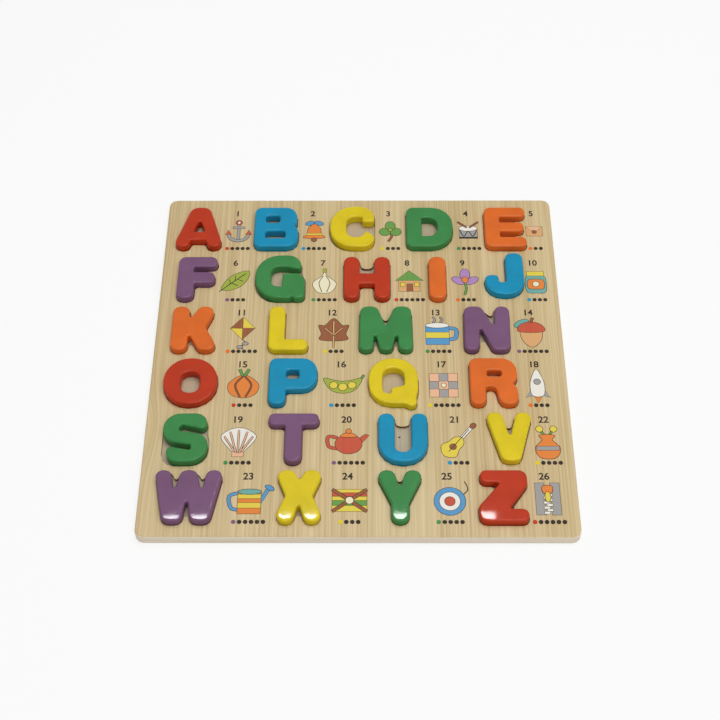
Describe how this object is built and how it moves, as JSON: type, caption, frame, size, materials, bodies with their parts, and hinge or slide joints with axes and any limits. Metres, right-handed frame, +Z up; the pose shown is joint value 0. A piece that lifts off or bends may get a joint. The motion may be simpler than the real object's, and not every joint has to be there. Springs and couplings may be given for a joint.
{
  "type": "wooden alphabet puzzle",
  "caption": "Square wooden tray with letter-shaped pockets in a pierced face board and loose painted capital letters that lift out.",
  "frame": {"origin": "middle of the tray's underside", "axes": "+Z up out of the face, +X along a row of letters, +Y to the back edge"},
  "size_m": [0.3, 0.3, 0.0148],
  "materials": {
    "backing_wood": "clear lacquer",
    "face_wood": "clear lacquer",
    "paint_red": "gloss paint",
    "paint_blue": "gloss paint",
    "paint_yellow": "gloss paint",
    "paint_green": "gloss paint",
    "paint_orange": "gloss paint",
    "paint_purple": "gloss paint"
  },
  "bodies": {
    "tray": {"backing_board": "backing_wood", "face_board": "face_wood"},
    "piece_A": {"letter_A": "paint_red"},
    "piece_B": {"letter_B": "paint_blue"},
    "piece_C": {"letter_C": "paint_yellow"},
    "piece_D": {"letter_D": "paint_green"},
    "piece_E": {"letter_E": "paint_orange"},
    "piece_F": {"letter_F": "paint_purple"},
    "piece_G": {"letter_G": "paint_green"},
    "piece_H": {"letter_H": "paint_red"},
    "piece_I": {"letter_I": "paint_orange"},
    "piece_J": {"letter_J": "paint_blue"},
    "piece_K": {"letter_K": "paint_orange"},
    "piece_L": {"letter_L": "paint_yellow"},
    "piece_M": {"letter_M": "paint_green"},
    "piece_N": {"letter_N": "paint_purple"},
    "piece_O": {"letter_O": "paint_red"},
    "piece_P": {"letter_P": "paint_blue"},
    "piece_Q": {"letter_Q": "paint_yellow"},
    "piece_R": {"letter_R": "paint_orange"},
    "piece_S": {"letter_S": "paint_green"},
    "piece_T": {"letter_T": "paint_purple"},
    "piece_U": {"letter_U": "paint_blue"},
    "piece_V": {"letter_V": "paint_yellow"},
    "piece_W": {"letter_W": "paint_purple"},
    "piece_X": {"letter_X": "paint_yellow"},
    "piece_Y": {"letter_Y": "paint_green"},
    "piece_Z": {"letter_Z": "paint_red"}
  },
  "joints": [
    {"name": "lift_A", "type": "slide", "parent": "tray", "child": "piece_A", "axis": [0, 0, 1], "range_m": [0, 0.02]},
    {"name": "lift_B", "type": "slide", "parent": "tray", "child": "piece_B", "axis": [0, 0, 1], "range_m": [0, 0.02]},
    {"name": "lift_C", "type": "slide", "parent": "tray", "child": "piece_C", "axis": [0, 0, 1], "range_m": [0, 0.02]},
    {"name": "lift_D", "type": "slide", "parent": "tray", "child": "piece_D", "axis": [0, 0, 1], "range_m": [0, 0.02]},
    {"name": "lift_E", "type": "slide", "parent": "tray", "child": "piece_E", "axis": [0, 0, 1], "range_m": [0, 0.02]},
    {"name": "lift_F", "type": "slide", "parent": "tray", "child": "piece_F", "axis": [0, 0, 1], "range_m": [0, 0.02]},
    {"name": "lift_G", "type": "slide", "parent": "tray", "child": "piece_G", "axis": [0, 0, 1], "range_m": [0, 0.02]},
    {"name": "lift_H", "type": "slide", "parent": "tray", "child": "piece_H", "axis": [0, 0, 1], "range_m": [0, 0.02]},
    {"name": "lift_I", "type": "slide", "parent": "tray", "child": "piece_I", "axis": [0, 0, 1], "range_m": [0, 0.02]},
    {"name": "lift_J", "type": "slide", "parent": "tray", "child": "piece_J", "axis": [0, 0, 1], "range_m": [0, 0.02]},
    {"name": "lift_K", "type": "slide", "parent": "tray", "child": "piece_K", "axis": [0, 0, 1], "range_m": [0, 0.02]},
    {"name": "lift_L", "type": "slide", "parent": "tray", "child": "piece_L", "axis": [0, 0, 1], "range_m": [0, 0.02]},
    {"name": "lift_M", "type": "slide", "parent": "tray", "child": "piece_M", "axis": [0, 0, 1], "range_m": [0, 0.02]},
    {"name": "lift_N", "type": "slide", "parent": "tray", "child": "piece_N", "axis": [0, 0, 1], "range_m": [0, 0.02]},
    {"name": "lift_O", "type": "slide", "parent": "tray", "child": "piece_O", "axis": [0, 0, 1], "range_m": [0, 0.02]},
    {"name": "lift_P", "type": "slide", "parent": "tray", "child": "piece_P", "axis": [0, 0, 1], "range_m": [0, 0.02]},
    {"name": "lift_Q", "type": "slide", "parent": "tray", "child": "piece_Q", "axis": [0, 0, 1], "range_m": [0, 0.02]},
    {"name": "lift_R", "type": "slide", "parent": "tray", "child": "piece_R", "axis": [0, 0, 1], "range_m": [0, 0.02]},
    {"name": "lift_S", "type": "slide", "parent": "tray", "child": "piece_S", "axis": [0, 0, 1], "range_m": [0, 0.02]},
    {"name": "lift_T", "type": "slide", "parent": "tray", "child": "piece_T", "axis": [0, 0, 1], "range_m": [0, 0.02]},
    {"name": "lift_U", "type": "slide", "parent": "tray", "child": "piece_U", "axis": [0, 0, 1], "range_m": [0, 0.02]},
    {"name": "lift_V", "type": "slide", "parent": "tray", "child": "piece_V", "axis": [0, 0, 1], "range_m": [0, 0.02]},
    {"name": "lift_W", "type": "slide", "parent": "tray", "child": "piece_W", "axis": [0, 0, 1], "range_m": [0, 0.02]},
    {"name": "lift_X", "type": "slide", "parent": "tray", "child": "piece_X", "axis": [0, 0, 1], "range_m": [0, 0.02]},
    {"name": "lift_Y", "type": "slide", "parent": "tray", "child": "piece_Y", "axis": [0, 0, 1], "range_m": [0, 0.02]},
    {"name": "lift_Z", "type": "slide", "parent": "tray", "child": "piece_Z", "axis": [0, 0, 1], "range_m": [0, 0.02]}
  ]
}
